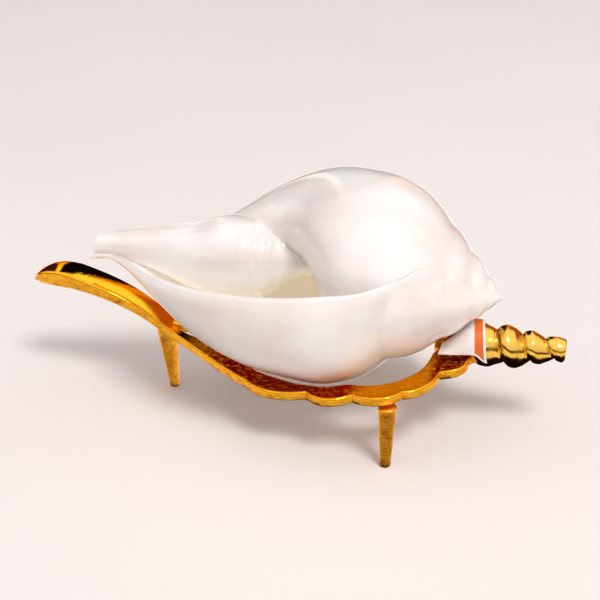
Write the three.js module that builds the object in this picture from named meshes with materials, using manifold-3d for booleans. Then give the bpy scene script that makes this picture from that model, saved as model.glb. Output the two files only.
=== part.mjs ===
// A conch shell resting in a gilt cast-metal cradle that is itself shaped like a conch, on three legs.
// Millimetres, +Z up. +X runs from the cradle's curled lip to the tip of its spire. The origin is on the
// surface that the feet stand on, midway along and across the whole. The tables below are measured from
// the middle of the cradle's opening instead, and everything is moved level together at the end.
import * as THREE from "three";
import { mergeVertices } from "three/addons/utils/BufferGeometryUtils.js";
import Module from "manifold-3d";

const wasm = await Module();
wasm.setup();

// ---------------------------------------------------------------- driving dimensions
const SHELL_LENGTH = 132.5; // apex to the end of the siphonal canal
const SHELL_APEX = [67.2, 0, 44.9]; // where the apex sits above the cradle's spire
const SHELL_TILT = 6.6; // degrees that the canal end is raised
const MID_LIP_ANGLE = 8.5; // degrees above level of the middle of the outer lip, on the -Y side
const WALL = 3.0; // shell wall
const CANAL_BEND = 9.5; // how far the canal droops below the shell's axis
const TIP_TO_MIDDLE = 89.3; // cradle: its curled tip to the middle of its opening
const SPIRE_END = 87.5; // cradle: the middle of its opening to the spire's flat end
const FOOT_RADIUS = 1.7;
const LEG_TOP_RADIUS = 2.8;
const NEAR_LEG_X = 37.4; // the two legs under the ring, one each side of the centre line
const NEAR_LEG_Y = 32.2;
const FAR_LEG_X = 20;
const FAR_LEG_Y = 31;
const NECK_LEG_X = -43; // the single leg under the neck

// ---------------------------------------------------------------- small maths
const clamp01 = (v) => Math.min(1, Math.max(0, v));
const smooth = (a, b, v) => {
  const t = clamp01((v - a) / (b - a));
  return t * t * (3 - 2 * t);
};
const lerp = (a, b, t) => a + (b - a) * t;

// A smooth curve through [x, y] points, level beyond its ends.
function curveThrough(points) {
  const n = points.length;
  const slope = (i) => {
    if (i === 0 || i === n - 1) return 0;
    const before = (points[i][1] - points[i - 1][1]) / (points[i][0] - points[i - 1][0]);
    const after = (points[i + 1][1] - points[i][1]) / (points[i + 1][0] - points[i][0]);
    return before * after <= 0 ? 0 : (2 * before * after) / (before + after);
  };
  return (x) => {
    if (x <= points[0][0]) return points[0][1];
    if (x >= points[n - 1][0]) return points[n - 1][1];
    const i = points.findIndex((p) => p[0] > x) - 1;
    const [x0, y0] = points[i];
    const [x1, y1] = points[i + 1];
    const h = x1 - x0;
    const t = (x - x0) / h;
    const h00 = (1 + 2 * t) * (1 - t) ** 2;
    const h10 = t * (1 - t) ** 2;
    const h01 = t * t * (3 - 2 * t);
    const h11 = t * t * (t - 1);
    return h00 * y0 + h10 * h * slope(i) + h01 * y1 + h11 * h * slope(i + 1);
  };
}

// The larger of two values, blended over a band of the given width, as shell whorls fuse at a suture.
function softMax(a, b, band) {
  const h = Math.max(band - Math.abs(a - b), 0) / band;
  return Math.max(a, b) + (h * h * band) / 4;
}

// ---------------------------------------------------------------- solids and meshes
// Closed triangles, given as points and index triples, as a manifold solid.
function solidFromTriangles(points, triangles) {
  const geometry = new THREE.BufferGeometry()
    .setAttribute("position", new THREE.BufferAttribute(new Float32Array(points.flat()), 3))
    .setIndex(triangles.flat());
  return solidFromGeometry(geometry);
}

function solidFromGeometry(source) {
  const bare = new THREE.BufferGeometry()
    .setAttribute("position", source.getAttribute("position"))
    .setIndex(source.index);
  const merged = mergeVertices(bare, 1e-4);
  const index = Array.from(merged.index.array);
  const kept = [];
  for (let i = 0; i < index.length; i += 3) {
    const [a, b, c] = index.slice(i, i + 3);
    if (a !== b && b !== c && a !== c) kept.push(a, b, c);
  }
  return new wasm.Manifold(
    new wasm.Mesh({
      numProp: 3,
      vertProperties: merged.getAttribute("position").array,
      triVerts: new Uint32Array(kept),
    }),
  );
}

function geometryFromSolid(solid) {
  const made = solid.getMesh();
  return new THREE.BufferGeometry()
    .setAttribute("position", new THREE.BufferAttribute(new Float32Array(made.vertProperties), 3))
    .setIndex(new THREE.BufferAttribute(new Uint32Array(made.triVerts), 1));
}

function mesh(name, solid, material) {
  const made = new THREE.Mesh(geometryFromSolid(solid), material);
  made.name = name;
  return made;
}

// A closed tube from rows of points, each row a ring, with both ends capped to their middles.
function solidFromRings(rings) {
  const n = rings[0].length;
  const points = rings.flat();
  const triangles = [];
  for (let i = 0; i + 1 < rings.length; i++) {
    for (let j = 0; j < n; j++) {
      const k = (j + 1) % n;
      const [a, b, c, d] = [i * n + j, i * n + k, (i + 1) * n + k, (i + 1) * n + j];
      triangles.push([a, b, c], [a, c, d]);
    }
  }
  const middle = (ring) => [0, 1, 2].map((axis) => ring.reduce((sum, p) => sum + p[axis], 0) / n);
  const first = points.push(middle(rings[0])) - 1;
  const last = points.push(middle(rings[rings.length - 1])) - 1;
  const base = (rings.length - 1) * n;
  for (let j = 0; j < n; j++) {
    const k = (j + 1) % n;
    triangles.push([first, k, j], [last, base + j, base + k]);
  }
  const made = solidFromTriangles(points, triangles);
  if (made.volume() > 0) return made;
  return solidFromTriangles(points, triangles.map(([a, b, c]) => [a, c, b]));
}

// ---------------------------------------------------------------- the shell's growth
// x is the distance from the apex along the axis. Age is in turns about the axis: 0 at the middle of the
// outer lip, falling towards the apex. Each whorl's outline swells to its bulge and tapers to the core.
const logBulgeRadius = curveThrough([
  [-6.2, Math.log(1.15)],
  [-5.2, Math.log(2.4)],
  [-4.2, Math.log(4.7)],
  [-3.2, Math.log(9.2)],
  [-2.2, Math.log(16.5)],
  [-1.2, Math.log(26)],
  [-0.7, Math.log(31.5)],
  [-0.2, Math.log(38.3)],
  [0.1, Math.log(39.2)],
]);
const logBulgePlace = curveThrough([
  [-6.2, Math.log(1.4)],
  [-5.2, Math.log(2.75)],
  [-4.2, Math.log(5.3)],
  [-3.2, Math.log(10.2)],
  [-2.2, Math.log(19.6)],
  [-1.2, Math.log(34.8)],
  [-0.7, Math.log(44)],
  [-0.2, Math.log(54)],
  [0.1, Math.log(60.8)],
]);
const logEnd = curveThrough([
  [-6.2, Math.log(2)],
  [-5.2, Math.log(4)],
  [-4.2, Math.log(7.6)],
  [-3.2, Math.log(14)],
  [-2.2, Math.log(27)],
  [-1.2, Math.log(52)],
  [-1, Math.log(60)],
  [-0.86, Math.log(72)],
  [-0.7, Math.log(87)],
  [-0.45, Math.log(108)],
  [-0.2, Math.log(126)],
  [0, Math.log(131)],
  [0.1, Math.log(131)],
]);
// The core that the whorls wind about: its radius, and how far its middle lies under the axis. It is
// waisted under the body, stout and set low where its folds are, then slender.
const coreGirth = curveThrough([
  [50, 4],
  [62, 5],
  [68, 8],
  [74, 11.5],
  [80, 13.2],
  [88, 13.6],
  [98, 11.2],
  [105, 9.2],
  [113, 7.1],
  [120, 5.6],
  [131, 3.6],
]);
const coreSag = curveThrough([
  [50, 0],
  [62, 0],
  [68, 1.5],
  [74, 3.5],
  [80, 4.2],
  [88, 4.8],
  [98, 5],
  [105, 4.2],
  [113, 3.3],
  [120, 2.6],
  [131, 1.4],
]);

// The core's surface from the axis.
function coreRadius(x, age) {
  const angle = THREE.MathUtils.degToRad(MID_LIP_ANGLE + 360 * age);
  const sag = coreSag(x);
  return Math.sqrt(coreGirth(x) ** 2 - (sag * Math.cos(angle)) ** 2) - sag * Math.sin(angle);
}

// Where a whorl starts, as a part of the way from the apex to its bulge.
const startPart = curveThrough([
  [-3, 0.33],
  [-1.2, 0.33],
  [-0.7, 0.29],
  [-0.4, 0.36],
  [-0.2, 0.43],
  [-0.05, 0.44],
  [0.068, 0.383],
]);

function whorl(x, age) {
  const bulge = Math.exp(logBulgeRadius(age));
  const place = Math.exp(logBulgePlace(age));
  const start = place * startPart(age);
  if (x <= start) return 0;
  if (x <= place) {
    const power = lerp(0.5, 0.3, smooth(-0.1, 0.068, age));
    return bulge * (1 - ((place - x) / (place - start)) ** 2) ** power;
  }
  const end = Math.exp(logEnd(age));
  const core = Math.min(coreGirth(x) - coreSag(x), bulge * 0.5);
  const canal = lerp(core, 5.6, smooth(-0.6, -0.1, age)) + 2.6 * smooth(-0.3, -0.02, age);
  if (x >= end) return canal;
  const power = lerp(lerp(0.6, 1.3, smooth(-1, -0.8, age)), 1.85, smooth(-0.7, -0.25, age));
  return canal + (bulge - canal) * (1 - ((x - place) / (end - place)) ** 3) ** power;
}

// The outside at an age: this whorl, those before it and the core, fused.
function outside(x, age) {
  let radius = Math.min(coreRadius(x, age), 1.15 * x);
  for (let back = 5; back >= 0; back--) radius = softMax(radius, whorl(x, age - back), 1.2);
  return radius;
}

const lipAngle = curveThrough([
  [24.5, 33],
  [29.5, 24],
  [35, 17],
  [41, 12],
  [51, 8.5],
  [64, 4],
  [83, -1],
  [98, -5],
  [113, -11],
  [121, -15.5],
  [132, -24],
]);
const lipAge = (x) => (lipAngle(x) - MID_LIP_ANGLE) / 360;

// A point of the shell, by distance from the apex, turns round from the lip's edge, and radius.
function shellPoint(x, turn, radius) {
  const angle = THREE.MathUtils.degToRad(lipAngle(x) + 360 * turn);
  const tilt = THREE.MathUtils.degToRad(SHELL_TILT);
  const droop = CANAL_BEND * clamp01((x - 75) / 60) ** 2;
  const across = -radius * Math.cos(angle);
  const above = radius * Math.sin(angle) - droop;
  return [
    SHELL_APEX[0] - x * Math.cos(tilt) + above * Math.sin(tilt),
    SHELL_APEX[1] + across,
    SHELL_APEX[2] + x * Math.sin(tilt) + above * Math.cos(tilt),
  ];
}

const spread = (from, to, count) => Array.from({ length: count + 1 }, (_, i) => lerp(from, to, i / count));

// How far the lip's rounded edge is drawn back, a given distance round from the lip.
const lipRound = (distance) => 1.3 * (1 - Math.sqrt(1 - clamp01(1 - distance / 2.4) ** 2));

function shellSolid() {
  const lastTurn = 36;
  // Turns from the lip: closely spaced at its rounded edge, then even round the whorl.
  const nearLip = [0, 0.35, 1.1, 2.4];
  const turnsAt = (x) => {
    const size = 2 * Math.PI * Math.max(4, outside(x, lipAge(x)));
    const close = nearLip.map((mm) => -mm / size);
    return [...close, ...spread(close[3], -1, lastTurn).slice(1)];
  };
  const xs = [0.2, 1, 2.6, 4.8, 7.4, 10.2, 13, 16, 19.2, 22.4, 25.4, 28.2, 30.8, 33.4, 36.6, 41, 46, 51, 55];
  xs.push(58, 60.5, 63, 66, 69.5, 73, 77, 82, 88, 94, 100, 106, 112, 118, 125, SHELL_LENGTH);
  const body = solidFromRings(
    xs.map((x) => {
      const size = 2 * Math.PI * Math.max(4, outside(x, lipAge(x)));
      return turnsAt(x).map((turn) => {
        const drawn = lipRound(-turn * size) * smooth(22, 34, x);
        return shellPoint(x, turn, outside(x, lipAge(x) + turn) - drawn);
      });
    }),
  );
  // The room inside the last whorl, out to the inner face of its wall.
  const hollowXs = [...xs.filter((x) => x > 22 && x < SHELL_LENGTH), SHELL_LENGTH + 3];
  const room = solidFromRings(
    hollowXs.map((x) => {
      const size = 2 * Math.PI * Math.max(4, outside(x, lipAge(x)));
      const arc = [1.2 / size, ...turnsAt(x).slice(0, 26)];
      const wall = WALL * lerp(1, 0.66, smooth(95, 130, x));
      return [
        shellPoint(x, arc[0], 0),
        ...arc.map((turn) => {
          const flare = lipRound(-turn * size);
          return shellPoint(x, turn, Math.max(0.5, whorl(x, lipAge(x) + turn) - wall + flare));
        }),
      ];
    }),
  );
  // What stands inside that room: the whorl before and the core it winds about.
  const core = solidFromRings(
    [...xs.filter((x) => x > 12), SHELL_LENGTH + 4].map((x) => {
      const size = 2 * Math.PI * Math.max(4, outside(x, lipAge(x)));
      const arc = [3 / size, ...turnsAt(x).slice(0, 29)];
      return [
        shellPoint(x, -0.3, 0),
        ...arc.map((turn) => {
          const lift = turn >= 0 ? 0.04 : 0;
          return shellPoint(x, turn, outside(x, lipAge(x) + turn - 1) + lift);
        }),
      ];
    }),
  );
  return body.subtract(room.subtract(core));
}

// ---------------------------------------------------------------- the cradle's plate
// Matching places along one side: the outer edge and, level with it, the edge of the opening or the
// centre line. Distances out from the centre line.
const EDGE = [
  [-TIP_TO_MIDDLE, 0.9, -TIP_TO_MIDDLE, 0],
  [-88.3, 2.2, -88.3, 0],
  [-85.6, 3.8, -85.6, 0],
  [-80, 5.1, -80, 0],
  [-73, 5.6, -73, 0],
  [-65, 5.6, -65, 0],
  [-57, 5.3, -57, 0],
  [-50, 4.9, -50, 0],
  [-45, 4.7, -45, 0],
  [-41, 5, -41.5, 0],
  [-36, 6.8, -36, 2],
  [-30, 10.6, -30, 3.4],
  [-22, 16.8, -21.5, 6.5],
  [-14.6, 22.3, -13.5, 12],
  [-8, 26.6, -6.5, 16],
  [2, 29.9, 1, 18.8],
  [12.2, 30.8, 8.5, 21.8],
  [19.4, 32.4, 16, 22.5],
  [26.6, 31.6, 23, 21.4],
  [34.4, 31.3, 30, 22.2],
  [41.3, 28.9, 36, 21.4],
  [46.4, 23.2, 41, 18.2],
  [51, 16.6, 44.6, 13],
  [55.4, 13, 46.2, 7],
  [58.6, 8.8, 46.8, 2.4],
  [60, 6.6, 49, 0],
  [61.5, 5.9, 55, 0],
  [64, 5.2, 64, 0],
];
const along = (column) => curveThrough(EDGE.map((row, i) => [i, row[column]]));
const [outerX, outerY, innerX, innerY] = [0, 1, 2, 3].map(along);
// The cusps between the scallops of the rim, as places in the list above.
const CUSPS = [14, 16, 18, 20, 22, 24];
const SCALLOP = 2.2;

function scallop(place) {
  for (let i = 0; i + 1 < CUSPS.length; i++) {
    const part = (place - CUSPS[i]) / (CUSPS[i + 1] - CUSPS[i]);
    if (part > 0 && part < 1) return SCALLOP * (1 - Math.abs(2 * part - 1) ** 2.2);
  }
  return 0;
}

function outerEdge(place) {
  const ahead = [outerX(place + 0.05) - outerX(place - 0.05), outerY(place + 0.05) - outerY(place - 0.05)];
  const length = Math.hypot(...ahead) || 1;
  const out = scallop(place);
  return [outerX(place) - (ahead[1] / length) * out, outerY(place) + (ahead[0] / length) * out];
}

const outerTop = curveThrough([
  [-89.3, 35.9],
  [-87.6, 37.9],
  [-86, 39],
  [-83, 40.1],
  [-79, 40.5],
  [-75, 40.1],
  [-70.5, 38.9],
  [-64, 36.8],
  [-57, 34],
  [-50, 30.3],
  [-45, 26.9],
  [-41, 24.2],
  [-36, 22.5],
  [-30, 21.6],
  [-19, 21],
  [-10, 20.9],
  [0, 21.1],
  [12, 21.7],
  [20, 22.3],
  [31, 23.4],
  [37, 24.1],
  [47, 25.1],
  [54.5, 26.5],
  [64, 27.8],
]);
const innerTop = curveThrough([
  [-89.3, 36.1],
  [-87.6, 38.3],
  [-86, 39.5],
  [-83, 40.8],
  [-79, 41.4],
  [-75, 41],
  [-70.5, 39.8],
  [-64, 37.6],
  [-57, 34.8],
  [-50, 30.9],
  [-45, 27.2],
  [-41, 24],
  [-36, 22.4],
  [-30, 21.3],
  [-21, 20.6],
  [-13, 19.5],
  [-6, 18.6],
  [0, 18.5],
  [8.5, 19.2],
  [16, 19.7],
  [23, 20.8],
  [30, 21.8],
  [40, 23.8],
  [47, 25],
  [55, 26.6],
  [64, 28],
]);
const outerDepth = curveThrough([
  [-89.3, 1],
  [-85, 3.9],
  [-79, 5],
  [-71, 4.3],
  [-64, 3.7],
  [-50, 3.3],
  [-30, 2.9],
  [64, 2.8],
]);
const innerDepth = curveThrough([
  [-89.3, 1.2],
  [-85, 4.2],
  [-79, 5.5],
  [-71, 4.8],
  [-62, 4.2],
  [-42, 3.3],
  [-34, 2.4],
  [40, 2.2],
  [50, 2.8],
]);

// A point of the plate: place along it, 0 at the outer edge to 1 at the inner, and 0 under to 1 on top.
function platePoint(place, across, up, side) {
  const [ox, oy] = outerEdge(place);
  const x = lerp(ox, innerX(place), across);
  const y = lerp(oy, innerY(place), across);
  const crown = 1 - (1 - across) ** 2;
  const eased = lerp(crown, across, smooth(-48, -38, ox));
  const top = lerp(outerTop(ox), innerTop(innerX(place)), eased);
  const depth = lerp(outerDepth(ox), innerDepth(innerX(place)), across);
  return [x, side * y, top - depth * (1 - up)];
}

function plateSolid() {
  const places = [];
  for (let i = 0; i + 1 < EDGE.length; i++) {
    const steps = i < 14 ? 1 : i < 24 ? 4 : 1;
    for (let j = 0; j < steps; j++) places.push(i + j / steps);
  }
  places.push(EDGE.length - 1);
  const acrosses = [0, 0.5, 1];
  const half = (side) =>
    solidFromRings(
      places.map((place) => [
        ...acrosses.map((across) => platePoint(place, across, 1, side)),
        ...acrosses.toReversed().map((across) => platePoint(place, across, 0, side)),
      ]),
    );
  return half(-1).add(half(1));
}

// ---------------------------------------------------------------- the cradle's spire
const SPIRE_HEIGHT = 28.6;
const SPIRE_RISE = 0.8; // how far its axis climbs towards the tip
const SPIRE_START = 55.2;
const SPIRE_SLANT = 1.7; // how far the grooves lean
// Its radius along its axis: four beads, each rising quickly from its groove and falling slowly to the next.
const spireRadius = curveThrough([
  [55.2, 1],
  [56.6, 3.5],
  [58.2, 5.6],
  [60.2, 6.9],
  [62.2, 7.1],
  [65.5, 5.9],
  [67.5, 5.35],
  [69.2, 6.4],
  [70.6, 6.7],
  [73, 5.9],
  [75.6, 4.4],
  [76.8, 4.95],
  [78.2, 5.15],
  [80.4, 4.3],
  [82.7, 3.3],
  [84, 3.8],
  [85.6, 3.95],
  [87.5, 3.4],
]);

function spirePoint(x, angle, radius) {
  const fade = smooth(SPIRE_END, SPIRE_END - 3, x) * smooth(SPIRE_START, SPIRE_START + 3, x);
  const lean = SPIRE_SLANT * Math.sin(angle) * fade;
  const height = SPIRE_HEIGHT + SPIRE_RISE * smooth(66, 86, x);
  return [x - lean, -radius * Math.cos(angle), height + radius * Math.sin(angle)];
}

function spireSolid() {
  const around = 20;
  const xs = spread(SPIRE_START + 0.6, SPIRE_END, 32);
  const turns = Array.from({ length: around }, (_, j) => (2 * Math.PI * j) / around);
  return solidFromRings(xs.map((x) => turns.map((angle) => spirePoint(x, angle, spireRadius(x)))));
}

// ---------------------------------------------------------------- the legs
// The top end is cut along the slope of the plate above it.
function legSolid(footX, topX, y, topZ, topRadius, slope) {
  const profile = [
    [0, FOOT_RADIUS - 0.7],
    [0.25, FOOT_RADIUS - 0.25],
    [0.8, FOOT_RADIUS],
    [topZ * 0.5, lerp(FOOT_RADIUS, topRadius, 0.46)],
    [topZ, topRadius],
  ];
  const around = 20;
  return solidFromRings(
    profile.map(([z, radius]) =>
      Array.from({ length: around }, (_, j) => {
        const angle = (2 * Math.PI * j) / around;
        const out = radius * Math.cos(angle);
        const lift = z === topZ ? slope * out : 0;
        return [lerp(footX, topX, z / topZ) + out, y + radius * Math.sin(angle), z + lift];
      }),
    ),
  );
}

// ---------------------------------------------------------------- the paper label
// A paper label with one short edge lying on the plate beside the spire's root. From there it bends up
// over the near side of the first bead, which it hugs from the crest to just under its middle.
const LABEL_THICK = 0.35;
const LABEL_TOP_EDGE = [49.6, 62]; // along the cradle, from its short edge to its long one
const LABEL_LOW_EDGE = [49, 64.2];
const LABEL_HUG = 7.7; // radius of the paper's inner face round the bead
// How far the paper has bent from the plate to the bead, by place along the cradle.
const labelBend = curveThrough([
  [49.4, 0],
  [53, 0.3],
  [56, 0.69],
  [58, 0.93],
  [59.5, 1],
]);

// A point of the paper's inner face: part along from the short edge, and part down from the top edge.
function labelPoint(part, down) {
  const x = lerp(lerp(...LABEL_TOP_EDGE, part), lerp(...LABEL_LOW_EDGE, part), down);
  const angle = THREE.MathUtils.degToRad(lerp(98, lerp(-3, -22, smooth(0.72, 1, part)), down));
  const hugged = [-LABEL_HUG * Math.cos(angle), SPIRE_HEIGHT + LABEL_HUG * Math.sin(angle)];
  const bend = labelBend(x);
  return [x, lerp(lerp(-2, -8, down), hugged[0], bend), lerp(lerp(28.3, 27.2, down), hugged[1], bend)];
}

function labelSolid() {
  const face = (part, down, lift) => {
    const at = new THREE.Vector3(...labelPoint(part, down));
    const ahead = new THREE.Vector3(...labelPoint(part + 0.01, down)).sub(at);
    const below = new THREE.Vector3(...labelPoint(part, down + 0.01)).sub(at);
    return at.addScaledVector(below.cross(ahead).normalize(), lift).toArray();
  };
  const downs = spread(0, 1, 8);
  const parts = spread(0, 1, 10);
  const side = (lift) => parts.flatMap((part) => downs.map((down) => face(part, down, lift)));
  const points = [...side(LABEL_THICK), ...side(0)];
  const across = downs.length;
  const under = parts.length * across;
  const at = (i, j) => i * across + j;
  const triangles = [];
  for (let i = 0; i + 1 < parts.length; i++) {
    for (let j = 0; j + 1 < across; j++) {
      const [a, b, c, d] = [at(i, j), at(i, j + 1), at(i + 1, j + 1), at(i + 1, j)];
      const [e, f, g, h] = [a, b, c, d].map((corner) => under + corner);
      triangles.push([a, b, c], [a, c, d], [e, g, f], [e, h, g]);
    }
  }
  const wall = (a, b) => triangles.push([b, under + a, a], [b, under + b, under + a]);
  for (let i = 0; i + 1 < parts.length; i++) {
    wall(at(i, 0), at(i + 1, 0));
    wall(at(i + 1, across - 1), at(i, across - 1));
  }
  for (let j = 0; j + 1 < across; j++) {
    wall(at(0, j + 1), at(0, j));
    wall(at(parts.length - 1, j), at(parts.length - 1, j + 1));
  }
  const made = solidFromTriangles(points, triangles);
  if (made.volume() > 0) return made;
  return solidFromTriangles(points, triangles.map(([a, b, c]) => [a, c, b]));
}

// ---------------------------------------------------------------- finishes
const finish = (name, color, metalness, roughness) =>
  new THREE.MeshStandardMaterial({ name, color, metalness, roughness });
const porcelain = finish("polished_shell", 0xf3ece8, 0, 0.16);
const gilt = finish("gilt_casting", 0xe2a13a, 1, 0.2);
const giltLeg = finish("gilt_rod", 0xd9952f, 1, 0.32);
const paper = finish("coated_paper", 0xf2efe9, 0, 0.45);

// ---------------------------------------------------------------- the object
// Every solid with its node's name and finish.
const pieces = [
  ["shell", shellSolid(), porcelain],
  ["tray", plateSolid().add(spireSolid()), gilt],
  ["leg_left", legSolid(NECK_LEG_X + 1.7, NECK_LEG_X, 0, 21.5, 3.4, -0.6), giltLeg],
  ["leg_near", legSolid(NEAR_LEG_X, NEAR_LEG_X, -NEAR_LEG_Y, 20.6, LEG_TOP_RADIUS, 0.1), giltLeg],
  ["leg_far", legSolid(FAR_LEG_X, FAR_LEG_X, FAR_LEG_Y, 18.2, LEG_TOP_RADIUS, 0.1), giltLeg],
  ["label", labelSolid(), paper],
];
// The whole is moved level so that the origin is midway along it and across it.
const boxes = pieces.map(([, solid]) => solid.boundingBox());
const middleOf = (axis) => {
  const low = Math.min(...boxes.map((box) => box.min[axis]));
  const high = Math.max(...boxes.map((box) => box.max[axis]));
  return (low + high) / 2;
};
const conch = new THREE.Group();
conch.name = "conch_shell";
for (const [name, solid, material] of pieces) {
  conch.add(mesh(name, solid.translate([-middleOf(0), -middleOf(1), 0]), material));
}
export default conch;
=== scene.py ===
import math

import bmesh
import bpy
import numpy as np
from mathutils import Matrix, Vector


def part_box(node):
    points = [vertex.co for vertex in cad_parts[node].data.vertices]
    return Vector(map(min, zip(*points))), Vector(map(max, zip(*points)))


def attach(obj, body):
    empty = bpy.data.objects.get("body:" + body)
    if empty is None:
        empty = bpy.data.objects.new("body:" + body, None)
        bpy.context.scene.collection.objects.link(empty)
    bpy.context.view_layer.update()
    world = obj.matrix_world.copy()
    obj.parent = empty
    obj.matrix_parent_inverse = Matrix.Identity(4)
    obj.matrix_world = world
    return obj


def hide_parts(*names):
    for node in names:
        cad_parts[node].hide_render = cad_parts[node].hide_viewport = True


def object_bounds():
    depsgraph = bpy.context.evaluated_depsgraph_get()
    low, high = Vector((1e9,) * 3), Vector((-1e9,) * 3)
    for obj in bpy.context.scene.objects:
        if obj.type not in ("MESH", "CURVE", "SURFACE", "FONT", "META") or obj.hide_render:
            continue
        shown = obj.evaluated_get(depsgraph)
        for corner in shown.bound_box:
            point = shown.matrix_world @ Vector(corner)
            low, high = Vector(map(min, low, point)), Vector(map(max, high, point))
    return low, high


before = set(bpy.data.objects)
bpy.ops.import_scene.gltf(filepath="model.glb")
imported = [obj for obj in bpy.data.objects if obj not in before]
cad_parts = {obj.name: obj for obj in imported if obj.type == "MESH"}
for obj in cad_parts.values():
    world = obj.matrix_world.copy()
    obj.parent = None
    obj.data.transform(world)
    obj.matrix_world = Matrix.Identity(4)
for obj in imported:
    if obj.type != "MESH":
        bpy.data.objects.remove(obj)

# A polished conch shell resting in a gilt cast cradle that is shaped like a conch itself, on three
# tapered legs, with a small paper label over the root of the cradle's spire.
# Shapes are worked out in millimetres about the middle of the cradle, and placed from the CAD nodes.

cad_low, cad_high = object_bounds()
MM = 0.001

# ---------------------------------------------------------------- where things are
cradle_low, cradle_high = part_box("tray")
TIP_TO_MIDDLE = 89.3  # the cradle's curled tip to the middle of its opening, mm
MIDDLE_X = cradle_low.x / MM + TIP_TO_MIDDLE
MIDDLE_Y = (cradle_low.y + cradle_high.y) / 2 / MM


def placed(points):
    """Points in millimetres about the cradle's middle, as metres in the row frame."""
    return (np.asarray(points, float) + [MIDDLE_X, MIDDLE_Y, 0]) * MM


# ---------------------------------------------------------------- small maths
def curve_through(*points):
    """A smooth curve through (x, y) points, level beyond its ends."""
    xs, ys = np.array(points, float).T
    steps = np.diff(ys) / np.diff(xs)
    slopes = np.zeros(len(xs))
    for i in range(1, len(xs) - 1):
        before, after = steps[i - 1], steps[i]
        if before * after > 0:
            slopes[i] = 2 * before * after / (before + after)

    def height(x):
        x = np.clip(np.asarray(x, float), xs[0], xs[-1])
        i = np.clip(np.searchsorted(xs, x, side="right") - 1, 0, len(xs) - 2)
        h = xs[i + 1] - xs[i]
        t = (x - xs[i]) / h
        start = (1 + 2 * t) * (1 - t) ** 2 * ys[i] + t * (1 - t) ** 2 * h * slopes[i]
        return start + t * t * (3 - 2 * t) * ys[i + 1] + t * t * (t - 1) * h * slopes[i + 1]

    return height


def lerp(a, b, t):
    return a + (b - a) * t


def smooth(a, b, value):
    t = np.clip((value - a) / (b - a), 0, 1)
    return t * t * (3 - 2 * t)


def fused(a, b, band):
    """The larger of two radii, blended over a band, as whorls fuse at a suture."""
    h = np.maximum(band - np.abs(a - b), 0) / band
    return np.maximum(a, b) + h * h * band / 4


# ---------------------------------------------------------------- meshes
def mesh_piece(name, points, faces, materials, indexes=None, sharp=40):
    """An object from points in millimetres, smooth but for edges over the sharp angle."""
    mesh = bpy.data.meshes.new(name)
    mesh.from_pydata(placed(points).tolist(), [], [list(map(int, face)) for face in faces])
    piece = bpy.data.objects.new(name, mesh)
    bpy.context.scene.collection.objects.link(piece)
    for material in materials:
        mesh.materials.append(material)
    if indexes is not None:
        mesh.polygons.foreach_set("material_index", np.asarray(indexes, np.int32))
    mesh.shade_smooth()
    mesh.set_sharp_from_angle(angle=math.radians(sharp))
    return piece


def lofted(rings):
    """Points and faces of a closed tube through rings of equal count, with its ends filled."""
    rings = np.asarray(rings, float)
    count, around = rings.shape[:2]
    points = list(rings.reshape(-1, 3))
    i, j = np.meshgrid(np.arange(count - 1), np.arange(around), indexing="ij")
    k = (j + 1) % around
    faces = np.stack([i * around + j, i * around + k, (i + 1) * around + k, (i + 1) * around + j], -1)
    faces = [list(face) for face in faces.reshape(-1, 4)]
    first, last = len(points), len(points) + 1
    points += [rings[0].mean(0), rings[-1].mean(0)]
    base = (count - 1) * around
    for j in range(around):
        k = (j + 1) % around
        faces += [[first, k, j], [last, base + j, base + k]]
    return np.array(points), faces


def cleaned(piece, closeness=0.00002):
    """Merges doubled points, drops faces of no area and turns every face outwards."""
    work = bmesh.new()
    work.from_mesh(piece.data)
    bmesh.ops.remove_doubles(work, verts=work.verts, dist=closeness)
    bmesh.ops.dissolve_degenerate(work, edges=work.edges, dist=closeness)
    bmesh.ops.recalc_face_normals(work, faces=work.faces)
    work.to_mesh(piece.data)
    work.free()
    return piece


def cut_by(piece, tool):
    """piece with tool's solid taken away."""
    cut = piece.modifiers.new("cut", "BOOLEAN")
    cut.operation = "DIFFERENCE"
    cut.solver = "MANIFOLD"
    cut.object = tool
    made = bpy.data.meshes.new_from_object(piece.evaluated_get(bpy.context.evaluated_depsgraph_get()))
    piece.modifiers.clear()
    piece.data = made
    bpy.data.objects.remove(tool)
    return piece


# ---------------------------------------------------------------- finishes
def linear(hex_colour):
    """An sRGB hex colour as linear red, green, blue and alpha."""
    parts = [int(hex_colour[i : i + 2], 16) / 255 for i in (1, 3, 5)]
    return [c / 12.92 if c <= 0.04045 else ((c + 0.055) / 1.055) ** 2.4 for c in parts] + [1]


def node(tree, kind, inputs=None, stops=None, **settings):
    """A shader node with its settings, its values and the links into it."""
    made = tree.nodes.new("ShaderNode" + kind)
    for name, value in settings.items():
        setattr(made, name, value)
    for key, value in (inputs or {}).items():
        if isinstance(value, bpy.types.NodeSocket):
            tree.links.new(value, made.inputs[key])
        else:
            made.inputs[key].default_value = value
    if stops:
        ramp = made.color_ramp
        while len(ramp.elements) < len(stops):
            ramp.elements.new(1)
        for element, (place, colour) in zip(ramp.elements, stops):
            element.position = place
            element.color = linear(colour)
    return made


def finish(name):
    """An empty material, its tree, its shader and its coordinates in millimetres."""
    made = bpy.data.materials.new(name)
    made.use_nodes = True
    tree = made.node_tree
    tree.nodes.clear()
    shader = node(tree, "BsdfPrincipled")
    node(tree, "OutputMaterial", {"Surface": shader.outputs["BSDF"]})
    place = node(tree, "TexCoord").outputs["Object"]
    in_mm = node(tree, "VectorMath", {0: place, "Scale": 1 / MM}, operation="SCALE").outputs[0]
    return made, tree, shader, in_mm


# Painted light: the shell glows faintly of itself deep in its mouth, in place of light coming through its
# wall.
MOUTH_PAINTED_GLOW = 0.11  # strength of the light that the shell gives off in the depth of its mouth


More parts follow.
